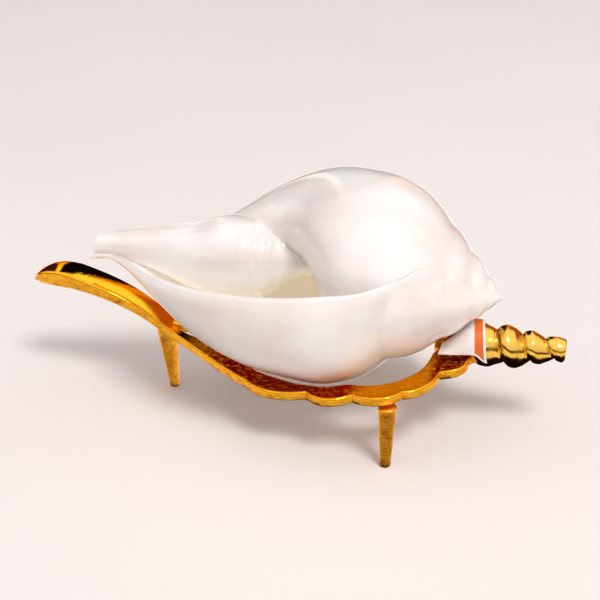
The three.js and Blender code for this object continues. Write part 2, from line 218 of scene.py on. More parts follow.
def polished_conch_shell():
    """Aragonite shell, scraped and polished: a milky, faintly translucent white with a wet gloss. Growth
    lines run from suture to lip, and the mouth's lining is a touch warmer the deeper it goes."""
    made, tree, shader, in_mm = finish("polished_conch_shell")
    grown = node(tree, "Attribute", attribute_name="grown").outputs["Vector"]
    parts = node(tree, "SeparateXYZ", {0: grown}).outputs
    # Growth lines about 2 mm apart on the last whorl: 110 to a turn, and long across the whorl.
    stretched = node(tree, "VectorMath", {0: grown, 1: (110, 0.06, 0)}, operation="MULTIPLY").outputs[0]
    lines = node(tree, "TexNoise", {"Vector": stretched, "Scale": 1.0, "Detail": 3.0, "Roughness": 0.6})
    # Broad bands where growth paused, about 20 mm apart.
    banded = node(tree, "VectorMath", {0: grown, 1: (12, 0.03, 0)}, operation="MULTIPLY").outputs[0]
    bands = node(tree, "TexNoise", {"Vector": banded, "Scale": 1.0, "Detail": 2.0})
    cloud = node(tree, "TexNoise", {"Vector": in_mm, "Scale": 1 / 26, "Detail": 2.0})
    white = node(
        tree,
        "ValToRGB",
        {"Fac": bands.outputs["Fac"]},
        stops=[(0.35, "#FAF8F6"), (0.62, "#F4EFEC"), (0.8, "#EEE6E4")],
    )
    blush = node(
        tree, "ValToRGB", {"Fac": cloud.outputs["Fac"]}, stops=[(0.4, "#FFFFFF"), (0.75, "#F5ECEA")]
    )
    outer = node(
        tree,
        "Mix",
        {0: 1.0, 6: white.outputs["Color"], 7: blush.outputs["Color"]},
        data_type="RGBA",
        blend_type="MULTIPLY",
    )
    # The third part of the attribute is 0 outside and grows to 1 deep in the mouth.
    lining = node(
        tree,
        "ValToRGB",
        {"Fac": parts[2]},
        stops=[(0.0, "#FCFAF8"), (0.4, "#FEFBF6"), (0.8, "#FEF8EF"), (1.0, "#FBF1E3")],
    )
    # Painted shade: the inside of the canal's last 12 mm is painted brown, for the shadow in its trough.
    canal_end_painted_shade = node(tree, "MapRange", {"Value": parts[1], "From Min": 117.0, "From Max": 129.0}).outputs[0]
    inside = node(
        tree, "Mix", {0: canal_end_painted_shade, 6: lining.outputs["Color"], 7: linear("#B98A62")}, data_type="RGBA"
    ).outputs[2]
    is_inner = node(tree, "MapRange", {"Value": parts[2], "From Max": 0.3}).outputs[0]
    colour = node(tree, "Mix", {0: is_inner, 6: outer.outputs[2], 7: inside}, data_type="RGBA")
    fine = node(tree, "TexNoise", {"Vector": in_mm, "Scale": 1 / 0.9, "Detail": 2.0})
    relief = node(
        tree, "Math", {0: fine.outputs["Fac"], 1: 0.25, 2: lines.outputs["Fac"]}, operation="MULTIPLY_ADD"
    )
    bump = node(tree, "Bump", {"Strength": 0.22, "Distance": 0.12 * MM, "Height": relief.outputs[0]})
    gloss = node(
        tree,
        "MapRange",
        {"Value": lines.outputs["Fac"], "From Min": 0.3, "From Max": 0.75, "To Min": 0.1, "To Max": 0.2},
    )
    tree.links.new(colour.outputs[2], shader.inputs["Base Color"])
    tree.links.new(bump.outputs[0], shader.inputs["Normal"])
    tree.links.new(gloss.outputs[0], shader.inputs["Roughness"])
    # Painted light: a faint glow of its own, deep in the mouth, stands in for daylight that the thin wall
    # lets through.
    through = node(tree, "Math", {0: parts[2], 1: MOUTH_PAINTED_GLOW}, operation="MULTIPLY").outputs[0]
    tree.links.new(inside, shader.inputs["Emission Color"])
    tree.links.new(through, shader.inputs["Emission Strength"])
    shader.inputs["IOR"].default_value = 1.53
    shader.inputs["Subsurface Weight"].default_value = 0.5
    shader.inputs["Subsurface Radius"].default_value = (1.0, 0.82, 0.66)
    shader.inputs["Subsurface Scale"].default_value = 4.5 * MM
    shader.inputs["Coat Weight"].default_value = 0.35
    shader.inputs["Coat Roughness"].default_value = 0.04
    return made


def polished_gilt(name, light, deep, haziest):
    """Cast brass, polished and gold plated: a deep mirror that the buffing left faintly wavy."""
    made, tree, shader, in_mm = finish(name)
    wave = node(tree, "TexNoise", {"Vector": in_mm, "Scale": 1 / 5.5, "Detail": 1.0})
    haze = node(tree, "TexNoise", {"Vector": in_mm, "Scale": 1 / 2.2, "Detail": 4.0})
    tint = node(tree, "ValToRGB", {"Fac": haze.outputs["Fac"]}, stops=[(0.3, light), (0.7, deep)])
    dull = haze.outputs["Fac"]
    gloss = node(
        tree,
        "MapRange",
        {"Value": dull, "From Min": 0.35, "From Max": 0.75, "To Min": 0.05, "To Max": haziest},
    )
    bump = node(tree, "Bump", {"Strength": 0.35, "Distance": 0.5 * MM, "Height": wave.outputs["Fac"]})
    tree.links.new(tint.outputs["Color"], shader.inputs["Base Color"])
    tree.links.new(gloss.outputs[0], shader.inputs["Roughness"])
    tree.links.new(bump.outputs[0], shader.inputs["Normal"])
    shader.inputs["Metallic"].default_value = 1.0
    shader.inputs["Specular Tint"].default_value = linear("#FFD890")
    return made


def grained_gilt():
    """Cast brass with a sand-grained face under the plating: bright grains, and painted shade between them,
    a dark red-brown in the hollows.
    """
    made, tree, shader, in_mm = finish("grained_gilt")
    amount = node(tree, "Attribute", attribute_name="grain").outputs["Fac"]
    # Grains about 1.3 mm apart, coarser than real ones so that they show.
    grains = node(
        tree, "TexVoronoi", {"Vector": in_mm, "Scale": 1 / 1.3, "Randomness": 1.0}, feature="SMOOTH_F1"
    )
    pits = node(tree, "TexNoise", {"Vector": in_mm, "Scale": 1 / 1.7, "Detail": 3.0, "Roughness": 0.65})
    height = node(
        tree,
        "Math",
        {0: grains.outputs["Distance"], 1: -0.9, 2: pits.outputs["Fac"]},
        operation="MULTIPLY_ADD",
    )
    # Painted shade: the hollows between the grains are painted a dark red-brown, for the shade and the
    # gold's own reflections that fall there.
    tint = node(
        tree,
        "ValToRGB",
        {"Fac": height.outputs[0]},
        stops=[(0.0, "#9A2604"), (0.14, "#C04C08"), (0.27, "#F0A81E"), (0.42, "#FFDA58")],
    )
    plain = linear("#FFC030")
    colour = node(tree, "Mix", {0: amount, 6: plain, 7: tint.outputs["Color"]}, data_type="RGBA")
    gloss = node(
        tree,
        "MapRange",
        {"Value": pits.outputs["Fac"], "From Min": 0.3, "From Max": 0.7, "To Min": 0.24, "To Max": 0.12},
    )
    # Mirror bright where there is no grain, and satin where the grain is worn half away.
    kept = node(tree, "Math", {0: 1.0, 1: amount}, operation="SUBTRACT").outputs[0]
    worn = node(tree, "Math", {0: kept, 1: amount}, operation="MULTIPLY").outputs[0]
    satin = node(tree, "Math", {0: worn, 1: 1.5, 2: 0.03}, operation="MULTIPLY_ADD").outputs[0]
    gloss = node(tree, "Math", {0: gloss.outputs[0], 1: amount, 2: satin}, operation="MULTIPLY_ADD")
    reach = node(tree, "Math", {0: amount, 1: 0.8, 2: 0.05}, operation="MULTIPLY_ADD").outputs[0]
    bump = node(tree, "Bump", {"Strength": reach, "Distance": 0.5 * MM, "Height": height.outputs[0]})
    tree.links.new(colour.outputs[2], shader.inputs["Base Color"])
    tree.links.new(gloss.outputs[0], shader.inputs["Roughness"])
    tree.links.new(bump.outputs[0], shader.inputs["Normal"])
    shader.inputs["Metallic"].default_value = 1.0
    shader.inputs["Specular Tint"].default_value = linear("#F09030")
    return made


def brushed_gilt():
    """Brass edge filed flat, brushed along its length and plated: a satin band with brown staining."""
    made, tree, shader, in_mm = finish("brushed_gilt")
    # Brush lines about 0.25 mm apart and 8 mm long, drawn wider than real ones so that they show.
    drawn = node(tree, "VectorMath", {0: in_mm, 1: (0.12, 0.12, 3.2)}, operation="MULTIPLY").outputs[0]
    lines = node(tree, "TexNoise", {"Vector": drawn, "Scale": 1.0, "Detail": 2.0})
    stain = node(tree, "TexNoise", {"Vector": in_mm, "Scale": 1 / 3.5, "Detail": 5.0, "Roughness": 0.7})
    tint = node(
        tree,
        "ValToRGB",
        {"Fac": stain.outputs["Fac"]},
        stops=[(0.28, "#9A4A10"), (0.4, "#E09020"), (0.56, "#F6B634"), (0.8, "#FCCB52")],
    )
    gloss = node(
        tree,
        "MapRange",
        {"Value": lines.outputs["Fac"], "From Min": 0.3, "From Max": 0.7, "To Min": 0.26, "To Max": 0.42},
    )
    height = node(
        tree, "Math", {0: stain.outputs["Fac"], 1: 0.6, 2: lines.outputs["Fac"]}, operation="MULTIPLY_ADD"
    )
    bump = node(tree, "Bump", {"Strength": 0.35, "Distance": 0.2 * MM, "Height": height.outputs[0]})
    tree.links.new(tint.outputs["Color"], shader.inputs["Base Color"])
    tree.links.new(gloss.outputs[0], shader.inputs["Roughness"])
    tree.links.new(bump.outputs[0], shader.inputs["Normal"])
    shader.inputs["Metallic"].default_value = 1.0
    return made


def turned_gilt_rod():
    """Brass rod, tapered on a lathe and plated: satin, with fine rings round it and brown stains."""
    made, tree, shader, in_mm = finish("turned_gilt_rod")
    # Turning rings 0.3 mm apart.
    rings = node(tree, "VectorMath", {0: in_mm, 1: (0.25, 0.25, 3.3)}, operation="MULTIPLY").outputs[0]
    lines = node(tree, "TexNoise", {"Vector": rings, "Scale": 1.0, "Detail": 2.0})
    stain = node(tree, "TexNoise", {"Vector": in_mm, "Scale": 1 / 2.6, "Detail": 5.0, "Roughness": 0.65})
    tint = node(
        tree,
        "ValToRGB",
        {"Fac": stain.outputs["Fac"]},
        stops=[(0.3, "#BE6A16"), (0.45, "#E69A26"), (0.65, "#F8B838")],
    )
    gloss = node(
        tree,
        "MapRange",
        {"Value": lines.outputs["Fac"], "From Min": 0.3, "From Max": 0.7, "To Min": 0.22, "To Max": 0.38},
    )
    bump = node(tree, "Bump", {"Strength": 0.3, "Distance": 0.15 * MM, "Height": lines.outputs["Fac"]})
    tree.links.new(tint.outputs["Color"], shader.inputs["Base Color"])
    tree.links.new(gloss.outputs[0], shader.inputs["Roughness"])
    tree.links.new(bump.outputs[0], shader.inputs["Normal"])
    shader.inputs["Metallic"].default_value = 1.0
    return made


def coated_label_paper(name, colour, shade):
    """Coated paper, printed flat and stuck down by hand: an even colour with a weak sheen and soft dents."""
    made, tree, shader, in_mm = finish(name)
    fibres = node(tree, "TexNoise", {"Vector": in_mm, "Scale": 1 / 0.35, "Detail": 4.0, "Roughness": 0.7})
    dents = node(tree, "TexNoise", {"Vector": in_mm, "Scale": 1 / 2.4, "Detail": 1.0})
    tint = node(tree, "ValToRGB", {"Fac": fibres.outputs["Fac"]}, stops=[(0.3, shade), (0.55, colour)])
    height = node(
        tree, "Math", {0: fibres.outputs["Fac"], 1: 0.2, 2: dents.outputs["Fac"]}, operation="MULTIPLY_ADD"
    )
    bump = node(tree, "Bump", {"Strength": 0.4, "Distance": 0.25 * MM, "Height": height.outputs[0]})
    tree.links.new(tint.outputs["Color"], shader.inputs["Base Color"])
    tree.links.new(bump.outputs[0], shader.inputs["Normal"])
    shader.inputs["Roughness"].default_value = 0.42
    shader.inputs["IOR"].default_value = 1.5
    return made


def pale_studio_floor():
    """Matt laminate, almost white, with no pattern that the eye can find."""
    made, tree, shader, in_mm = finish("pale_studio_floor")
    cloud = node(tree, "TexNoise", {"Vector": in_mm, "Scale": 1 / 180, "Detail": 1.0})
    tint = node(tree, "ValToRGB", {"Fac": cloud.outputs["Fac"]}, stops=[(0.3, "#F3EDEB"), (0.7, "#F6F1EE")])
    tree.links.new(tint.outputs["Color"], shader.inputs["Base Color"])
    shader.inputs["Roughness"].default_value = 0.7
    shader.inputs["Specular IOR Level"].default_value = 0.2
    return made


# ---------------------------------------------------------------- the shell's growth
# x is the distance from the apex along the axis, mm. Age is in turns about the axis: 0 at the middle of
# the outer lip, falling towards the apex. Each whorl swells to its bulge and tapers to the core.
SHELL_LENGTH = 132.5
SHELL_APEX = np.array([67.2, 0, 44.9])
SHELL_TILT = math.radians(6.6)
MID_LIP_ANGLE = 8.5
WALL = 3.0
CANAL_BEND = 9.5  # how far the canal's end has bent down, mm
LIP_DRAWN_BACK = 1.35  # the rounded edge of the lip: how deep and how long it is, mm
LIP_ROUNDED = 2.4
RING_STEP = 0.8  # from one ring of the shell's mesh to the next, mm
ROOM_FROM, ROOM_TURNS = 22, 0.62  # where the hollow starts from the apex, and how far back it winds
CORE_FROM, CORE_TURNS = 12, 0.72  # the same for what stands in the hollow, a little more each way
GROWN = np.array([-6.2, -5.2, -4.2, -3.2, -2.2, -1.2, -0.7, -0.2, 0.1])
log_bulge = curve_through(*zip(GROWN, np.log([1.15, 2.4, 4.7, 9.2, 16.5, 26, 31.5, 38.3, 39.2])))
log_place = curve_through(*zip(GROWN, np.log([1.4, 2.75, 5.3, 10.2, 19.6, 34.8, 44, 54, 60.8])))
ENDING = [-6.2, -5.2, -4.2, -3.2, -2.2, -1.2, -1, -0.86, -0.7, -0.45, -0.2, 0, 0.1]
log_end = curve_through(*zip(ENDING, np.log([2, 4, 7.6, 14, 27, 52, 60, 72, 87, 108, 126, 131, 131])))
start_part = curve_through(
    (-3, 0.33), (-1.2, 0.33), (-0.7, 0.29), (-0.4, 0.36), (-0.2, 0.43), (-0.05, 0.44), (0.068, 0.383)
)
# The core that the whorls wind about: its radius, and how far its middle lies under the axis.
core_girth = curve_through(
    (50, 4), (62, 5), (68, 8), (74, 11.5), (80, 13.2), (88, 13.6),
    (98, 11.2), (105, 9.2), (113, 7.1), (120, 5.6), (131, 3.6),
)
core_sag = curve_through(
    (50, 0), (62, 0), (68, 1.5), (74, 3.5), (80, 4.2), (88, 4.8),
    (98, 5), (105, 4.2), (113, 3.3), (120, 2.6), (131, 1.4),
)
lip_angle = curve_through(
    (24.5, 33), (29.5, 24), (35, 17), (41, 12), (51, 8.5), (64, 4),
    (83, -1), (98, -5), (113, -11), (121, -15.5), (132, -24),
)
FOLD_SPACING = 4.4  # the raised folds that wind round the core inside the mouth, mm
FOLD_HEIGHT = 0.6


def core_radius(x, age):
    """The core's surface from the axis, stout and set low where its folds are."""
    angle = np.radians(MID_LIP_ANGLE + 360 * age)
    girth, sag = core_girth(x), core_sag(x)
    fold = np.maximum(np.cos(2 * math.pi * (x - 76 + 3.5 * np.cos(angle)) / FOLD_SPACING), 0) ** 1.5
    girth = girth + FOLD_HEIGHT * fold * smooth(64, 70, x) * smooth(86, 78, x)
    return np.sqrt(girth**2 - (sag * np.cos(angle)) ** 2) - sag * np.sin(angle)


def whorl(x, age):
    bulge, place, end = np.exp(log_bulge(age)), np.exp(log_place(age)), np.exp(log_end(age))
    start = place * start_part(age)
    rise = lerp(0.5, 0.3, smooth(-0.1, 0.068, age))
    rising = bulge * np.maximum(1 - ((place - x) / (place - start)) ** 2, 0) ** rise
    core = np.minimum(core_girth(x) - core_sag(x), bulge * 0.5)
    canal = lerp(core, 5.6, smooth(-0.6, -0.1, age)) + 2.6 * smooth(-0.3, -0.02, age)
    fall = lerp(lerp(0.6, 1.3, smooth(-1, -0.8, age)), 1.85, smooth(-0.7, -0.25, age))
    falling = canal + (bulge - canal) * np.maximum(1 - ((x - place) / (end - place)) ** 3, 0) ** fall
    return np.where(x <= start, 0, np.where(x <= place, rising, np.where(x >= end, canal, falling)))


def outside(x, age):
    """The outside at an age: this whorl, those before it and the core, fused."""
    radius = np.minimum(core_radius(x, age), 1.15 * x)
    for back in range(5, -1, -1):
        radius = fused(radius, whorl(x, age - back), 1.0)
    return radius


def lip_age(x):
    return (lip_angle(x) - MID_LIP_ANGLE) / 360


def shell_points(x, turn, radius):
    """Points by distance from the apex, turns round from the lip's edge, and radius."""
    angle = np.radians(lip_angle(x) + 360 * turn)
    droop = CANAL_BEND * np.clip((x - 75) / 60, 0, 1) ** 2
    across = -radius * np.cos(angle)
    above = radius * np.sin(angle) - droop
    local = np.stack(
        [
            -x * math.cos(SHELL_TILT) + above * math.sin(SHELL_TILT),
            across,
            x * math.sin(SHELL_TILT) + above * math.cos(SHELL_TILT),
        ],
        -1,
    )
    return SHELL_APEX + local


def grown_from(points):
    """The same three numbers back from points of the shell: x, turns in -1 to 0, and radius."""
    local = np.asarray(points) - SHELL_APEX
    x = -local[:, 0] * math.cos(SHELL_TILT) + local[:, 2] * math.sin(SHELL_TILT)
    above = local[:, 2] * math.cos(SHELL_TILT) + local[:, 0] * math.sin(SHELL_TILT)
    above += CANAL_BEND * np.clip((x - 75) / 60, 0, 1) ** 2
    angle = np.degrees(np.arctan2(above, -local[:, 1]))
    turn = (angle - lip_angle(x)) / 360
    return x, turn - np.ceil(turn - 1e-6), np.hypot(above, local[:, 1])


def lip_round(distance):
    """How far the lip's rounded edge is drawn back, by distance round from the lip."""
    return LIP_DRAWN_BACK * (1 - np.sqrt(1 - np.clip(1 - distance / LIP_ROUNDED, 0, 1) ** 2))


def girth(x):
    return 2 * math.pi * np.maximum(4, outside(x, lip_age(x)))


def round_from_lip(x, last, count):
    """Turns back from the lip for each x: close together at its rounded edge, then even."""
    close = np.array([0, 0.08, 0.25, 0.5, 0.85, 1.3, 1.8, LIP_ROUNDED])
    near = -close[None, :] / girth(x)[:, None]
    rest = np.linspace(0, 1, count + 1)[1:]
    return np.concatenate([near, near[:, -1:] * (1 - rest) + last * rest], 1)


def shell_piece(material):
    even = np.arange(12 + RING_STEP, SHELL_LENGTH, RING_STEP)
    along = np.concatenate([np.geomspace(0.2, 12, 34), even, [SHELL_LENGTH]])
    x = along[:, None]
    turn = round_from_lip(along, -1, 230)
    drawn = lip_round(-turn * girth(along)[:, None]) * smooth(22, 34, x)
    body = shell_points(x + 0 * turn, turn, outside(x, lip_age(x) + turn) - drawn)
    shell = cleaned(mesh_piece("conch_shell", *lofted(body), [material]), 1e-7)

    # The room inside the last whorl, out to the inner face of its wall.
    x = np.append(along[along > ROOM_FROM], SHELL_LENGTH + 3)[:, None]
    turn = round_from_lip(x[:, 0], -ROOM_TURNS, 150)
    wall = WALL * lerp(1, 0.66, smooth(95, 130, x))
    flare = lip_round(-turn * girth(x[:, 0])[:, None])
    reach = np.maximum(0.5, whorl(x, lip_age(x) + turn) - wall + flare)
    ahead = 1.2 / girth(x[:, 0])[:, None]
    turn = np.concatenate([ahead, turn], 1)
    reach = np.concatenate([np.maximum(0.5, whorl(x, lip_age(x) + ahead) - wall + lip_round(0)), reach], 1)
    middle = shell_points(x, ahead, 0 * x)
    room = shell_points(x + 0 * turn, turn, reach)
    room_tool = cleaned(mesh_piece("room", *lofted(np.concatenate([middle, room], 1)), [material]), 1e-7)

    # What stands in that room: the whorl before and the core that it winds about.
    x = np.append(along[along > CORE_FROM], SHELL_LENGTH + 4)[:, None]
    turn = round_from_lip(x[:, 0], -CORE_TURNS, 170)
    turn = np.concatenate([3 / girth(x[:, 0])[:, None], turn], 1)
    lift = np.where(turn >= 0, 0.04, 0)
    reach = outside(x, lip_age(x) + turn - 1) + lift
    middle = shell_points(x, -0.3 + 0 * x, 0 * x)
    core = shell_points(x + 0 * turn, turn, reach)
    core_tool = cleaned(mesh_piece("core", *lofted(np.concatenate([middle, core], 1)), [material]), 1e-7)

    shell = cleaned(cut_by(shell, cut_by(room_tool, core_tool)), 1e-6)
    mesh = shell.data
    mesh.shade_smooth()
    mesh.set_sharp_from_angle(angle=math.radians(38))
    corners = np.zeros(len(mesh.vertices) * 3)
    mesh.vertices.foreach_get("co", corners)
    points = corners.reshape(-1, 3) / MM - [MIDDLE_X, MIDDLE_Y, 0]
    x, turn, radius = grown_from(points)
    # Depth is 0 on the outside and at the lip's line, and 1 from 34 mm round into the mouth.
    under = outside(x, lip_age(x) + turn) - radius
    depth = smooth(0.6, 34, -turn * girth(x)) * smooth(0.9, 2.0, under)
    grown = np.stack([lip_age(x) + turn, x, depth], 1).astype(np.float32)
    mesh.attributes.new("grown", "FLOAT_VECTOR", "POINT").data.foreach_set("vector", grown.ravel())
    return shell


# ---------------------------------------------------------------- the cradle's plate
# Matching places along one side: outer edge x and y, then inner edge or centre line x and y.
EDGE = np.array(
    [
        [-TIP_TO_MIDDLE, 0.9, -TIP_TO_MIDDLE, 0],
        [-88.3, 2.2, -88.3, 0],
        [-85.6, 3.8, -85.6, 0],
        [-80, 5.1, -80, 0],
        [-73, 5.6, -73, 0],
        [-65, 5.6, -65, 0],
        [-57, 5.3, -57, 0],
        [-50, 4.9, -50, 0],
        [-45, 4.7, -45, 0],
        [-41, 5, -41.5, 0],
        [-36, 6.8, -36, 2],
        [-30, 10.6, -30, 3.4],
        [-22, 16.8, -21.5, 6.5],
        [-14.6, 22.3, -13.5, 12],
        [-8, 26.6, -6.5, 16],
        [2, 29.9, 1, 18.8],
        [12.2, 30.8, 8.5, 21.8],
        [19.4, 32.4, 16, 22.5],
        [26.6, 31.6, 23, 21.4],
        [34.4, 31.3, 30, 22.2],
        [41.3, 28.9, 36, 21.4],
        [46.4, 23.2, 41, 18.2],
        [51, 16.6, 44.6, 13],
        [55.4, 13, 46.2, 7],
        [58.6, 8.8, 46.8, 2.4],
        [60, 6.6, 49, 0],
        [61.5, 5.9, 55, 0],
        [64, 5.2, 64, 0],
    ]
)
LAST_PLACE = len(EDGE) - 1
outer_x, outer_y, inner_x, inner_y = [curve_through(*enumerate(column)) for column in EDGE.T]
CUSPS = [14, 16, 18, 20, 22, 24]  # the points between the rim's scallops, as places along the edge
SCALLOP = 2.2  # how far each scallop bulges, mm
outer_top = curve_through(
    (-89.3, 35.9), (-87.6, 37.9), (-86, 39), (-83, 40.1), (-79, 40.5), (-75, 40.1), (-70.5, 38.9),
    (-64, 36.8), (-57, 34), (-50, 30.3), (-45, 26.9), (-41, 24.2), (-36, 22.5), (-30, 21.6), (-19, 21),
    (-10, 20.9), (0, 21.1), (12, 21.7), (20, 22.3), (31, 23.4), (37, 24.1), (47, 25.1), (54.5, 26.5),
    (64, 27.8),
)
inner_top = curve_through(
    (-89.3, 36.1), (-87.6, 38.3), (-86, 39.5), (-83, 40.8), (-79, 41.4), (-75, 41), (-70.5, 39.8),
    (-64, 37.6), (-57, 34.8), (-50, 30.9), (-45, 27.2), (-41, 24), (-36, 22.4), (-30, 21.3), (-21, 20.6),
    (-13, 19.5), (-6, 18.6), (0, 18.5), (8.5, 19.2), (16, 19.7), (23, 20.8), (30, 21.8), (40, 23.8),
    (47, 25), (55, 26.6), (64, 28),
)
outer_depth = curve_through(
    (-89.3, 1), (-85, 3.9), (-79, 5), (-71, 4.3), (-64, 3.7), (-50, 3.3), (-30, 2.9), (64, 2.8)
)
inner_depth = curve_through(
    (-89.3, 1.2), (-85, 4.2), (-79, 5.5), (-71, 4.8), (-62, 4.2),
    (-42, 3.3), (-34, 2.4), (40, 2.2), (50, 2.8),
)
POLISHED, GRAINED, BRUSHED = 0, 1, 2


def outer_edge(place):
    out = np.zeros_like(place)
    for start, end in zip(CUSPS, CUSPS[1:]):
        part = np.clip((place - start) / (end - start), 0, 1)
        out += SCALLOP * (1 - np.abs(2 * part - 1) ** 2.2)
    before, after = place - 0.05, place + 0.05
    ahead = np.stack([outer_x(after) - outer_x(before), outer_y(after) - outer_y(before)])
    ahead /= np.maximum(np.hypot(*ahead), 1e-9)
    return outer_x(place) - ahead[1] * out, outer_y(place) + ahead[0] * out


def plate_section(width, depth_out, depth_in, opening):
    """One cross section round from under the outer edge: how far in, how far down, and its finish."""
    fit = min(1.0, width / 5)
    edge, lip, foot = 0.75 * fit, 0.9 * fit, 0.3 * fit
    inner = min(0.7, opening * 0.5) * fit
    dish = 0.22 * fit * (opening > 0)
    turns = np.radians([20, 40, 60, 80, 90])
    section = [(foot, depth_out, BRUSHED), (0, depth_out - foot, BRUSHED)]
    section += [(0, depth_out * 0.55, BRUSHED), (0, edge, POLISHED)]
    section += [(edge - edge * math.cos(t), edge - edge * math.sin(t), POLISHED) for t in turns]
    section += [(edge + 0.45 * lip, 0.05 * dish, GRAINED), (edge + lip, dish, GRAINED)]
    start, end = edge + lip, width - inner
    section += [(lerp(start, end, t), dish, GRAINED) for t in (0.2, 0.4, 0.6, 0.8, 0.95)]
    for t in np.radians([30, 60, 90]):
        section.append((end + inner * math.sin(t), dish + inner - inner * math.cos(t), POLISHED))
    bevel = foot * (opening > 0)
    section += [(width, max(inner + dish, depth_in * 0.5), BRUSHED), (width, depth_in - bevel, BRUSHED)]
    section.append((width - bevel, depth_in, BRUSHED))
    section += [(width * 0.6, None, BRUSHED), (width * 0.3, None, BRUSHED)]
    return section


def plate_piece(materials):
    places = []
    for i in range(LAST_PLACE):
        steps = 6 if i < CUSPS[0] else 14 if i < CUSPS[-1] else 5
        places += [i + j / steps for j in range(steps)]
    places = np.array(places + [LAST_PLACE])
    ox, oy = outer_edge(places)
    ix, iy = inner_x(places), inner_y(places)
    rows, finishes = [], []
    for a, b, c, d in zip(ox, oy, ix, iy):
        width = math.hypot(a - c, b - d)
        deep_out, deep_in = float(outer_depth(a)), float(inner_depth(c))
        row = []
        for inward, down, kind in plate_section(width, deep_out, deep_in, d):
            across = inward / width
            crown = lerp(1 - (1 - across) ** 2, across, smooth(-48, -38, a))
            top = lerp(outer_top(a), inner_top(c), crown)
            drop = lerp(deep_out, deep_in, across) if down is None else down
            row.append([lerp(a, c, across), -lerp(b, d, across), top - drop])
            finishes.append(kind)
        rows.append(row)
    rows = np.array(rows)
    count, around = rows.shape[:2]
    finishes = finishes[:around]
    half = rows.reshape(-1, 3)
    points = np.concatenate([half, half * [1, -1, 1]])
    faces, kinds = [], []
    for side, offset in ((0, 0), (1, len(half))):
        for i in range(count - 1):
            for j in range(around):
                k = (j + 1) % around
                face = [i * around + j, i * around + k, (i + 1) * around + k, (i + 1) * around + j]
                if np.abs(half[face, 1]).max() < 1e-6:
                    continue
                kinds.append(max(finishes[j], finishes[k]))
                face = [offset + corner for corner in face]
                faces.append(face if side == 0 else face[::-1])
    piece = mesh_piece("cradle_plate", points, faces, materials, kinds)
    work = bmesh.new()
    work.from_mesh(piece.data)
    bmesh.ops.remove_doubles(work, verts=work.verts, dist=0.00001)
    bmesh.ops.dissolve_degenerate(work, edges=work.edges, dist=0.00001)
    open_edges = [edge for edge in work.edges if edge.is_boundary]
    bmesh.ops.holes_fill(work, edges=open_edges, sides=0)
    bmesh.ops.recalc_face_normals(work, faces=work.faces)
    work.to_mesh(piece.data)
    work.free()
    mesh = piece.data
    mesh.shade_smooth()
    mesh.set_sharp_from_angle(angle=math.radians(35))
    at = np.zeros(len(mesh.vertices) * 3)
    mesh.vertices.foreach_get("co", at)
    x = at.reshape(-1, 3)[:, 0] / MM - MIDDLE_X
    grain = smooth(-38, -18, x) * lerp(1, 0.25, smooth(22, 32, x) * smooth(50, 46, x))
    mesh.attributes.new("grain", "FLOAT", "POINT").data.foreach_set("value", grain.astype(np.float32))
    return piece


# ---------------------------------------------------------------- the cradle's spire
SPIRE_HEIGHT = 28.6
SPIRE_RISE = 0.8  # how far its axis climbs towards the tip, mm
SPIRE_START = 55.2
SPIRE_END = cradle_high.x / MM - MIDDLE_X
SPIRE_SLANT = 1.7  # how far the grooves lean, mm
# Its radius along its axis: four beads, each rising quickly from its groove and falling slowly on.
spire_radius = curve_through(
    (55.2, 1), (56.6, 3.5), (58.2, 5.6), (60.2, 6.9), (62.2, 7.1), (65.5, 5.9), (67.5, 5.35), (69.2, 6.4),
    (70.6, 6.7), (73, 5.9), (75.6, 4.4), (76.8, 4.95), (78.2, 5.15), (80.4, 4.3), (82.7, 3.3), (84, 3.8),
    (85.6, 3.95), (87.5, 3.4),
)
GROOVES = (67.5, 75.6, 82.7)


def spire_piece(material):
    x = np.linspace(SPIRE_START + 0.6, SPIRE_END, 190)[:, None]
    angle = np.linspace(0, 2 * math.pi, 80, endpoint=False)[None, :]
    fade = smooth(SPIRE_END, SPIRE_END - 3, x) * smooth(SPIRE_START, SPIRE_START + 3, x)
    # The grooves are pinched sharper than a smooth wave, and the flat end has a small rounded edge.
    radius = spire_radius(x) - 0.4 * (1 - np.sqrt(1 - np.clip((x - SPIRE_END + 0.5) / 0.5, 0, 1) ** 2))
    for groove in GROOVES:
        radius = radius - 0.35 * np.exp(-(((x - groove) / 0.45) ** 2))
    # A cast surface is never quite round.
    radius = radius * (1 + 0.012 * np.sin(3 * angle + 0.35 * x) + 0.008 * np.sin(5 * angle - 0.5 * x))
    height = SPIRE_HEIGHT + SPIRE_RISE * smooth(66, 86, x)
    lean = SPIRE_SLANT * np.sin(angle) * fade
    rings = np.stack([x - lean, -radius * np.cos(angle), height + radius * np.sin(angle)], -1)
    return cleaned(mesh_piece("cradle_spire", *lofted(rings), [material]), 1e-6)


# ---------------------------------------------------------------- the legs
FOOT_RADIUS = 1.7
# Name, x of the foot, x of the top, y, height, radius at the top, and slope of the plate above.
LEGS = (
    ("leg_neck", -41.3, -43, 0, 21.5, 3.4, -0.6),
    ("leg_near_side", 37.4, 37.4, -32.2, 20.6, 2.8, 0.1),
    ("leg_far_side", 20, 20, 31, 18.2, 2.8, 0.1),
)


def leg_piece(name, foot_x, top_x, y, top, top_radius, slope, material):
    """A tapered leg, its top end cut along the slope of the plate above it."""
    foot = FOOT_RADIUS
    profile = [(0, foot - 0.75), (0.08, foot - 0.5), (0.25, foot - 0.25), (0.5, foot - 0.08), (0.8, foot)]
    profile += [(lerp(0.8, top - 0.5, t), lerp(foot, top_radius, t**1.1)) for t in np.linspace(0.08, 1, 14)]
    profile += [(top - 0.15, top_radius), (top, top_radius - 0.15)]
    angle = np.linspace(0, 2 * math.pi, 48, endpoint=False)
    rings = []
    for z, r in profile:
        out = r * np.cos(angle)
        lift = slope * out * (z > top - 0.2)
        rings.append(np.stack([lerp(foot_x, top_x, z / top) + out, y + r * np.sin(angle), z + lift], -1))
    return cleaned(mesh_piece(name, *lofted(rings), [material]), 1e-6)


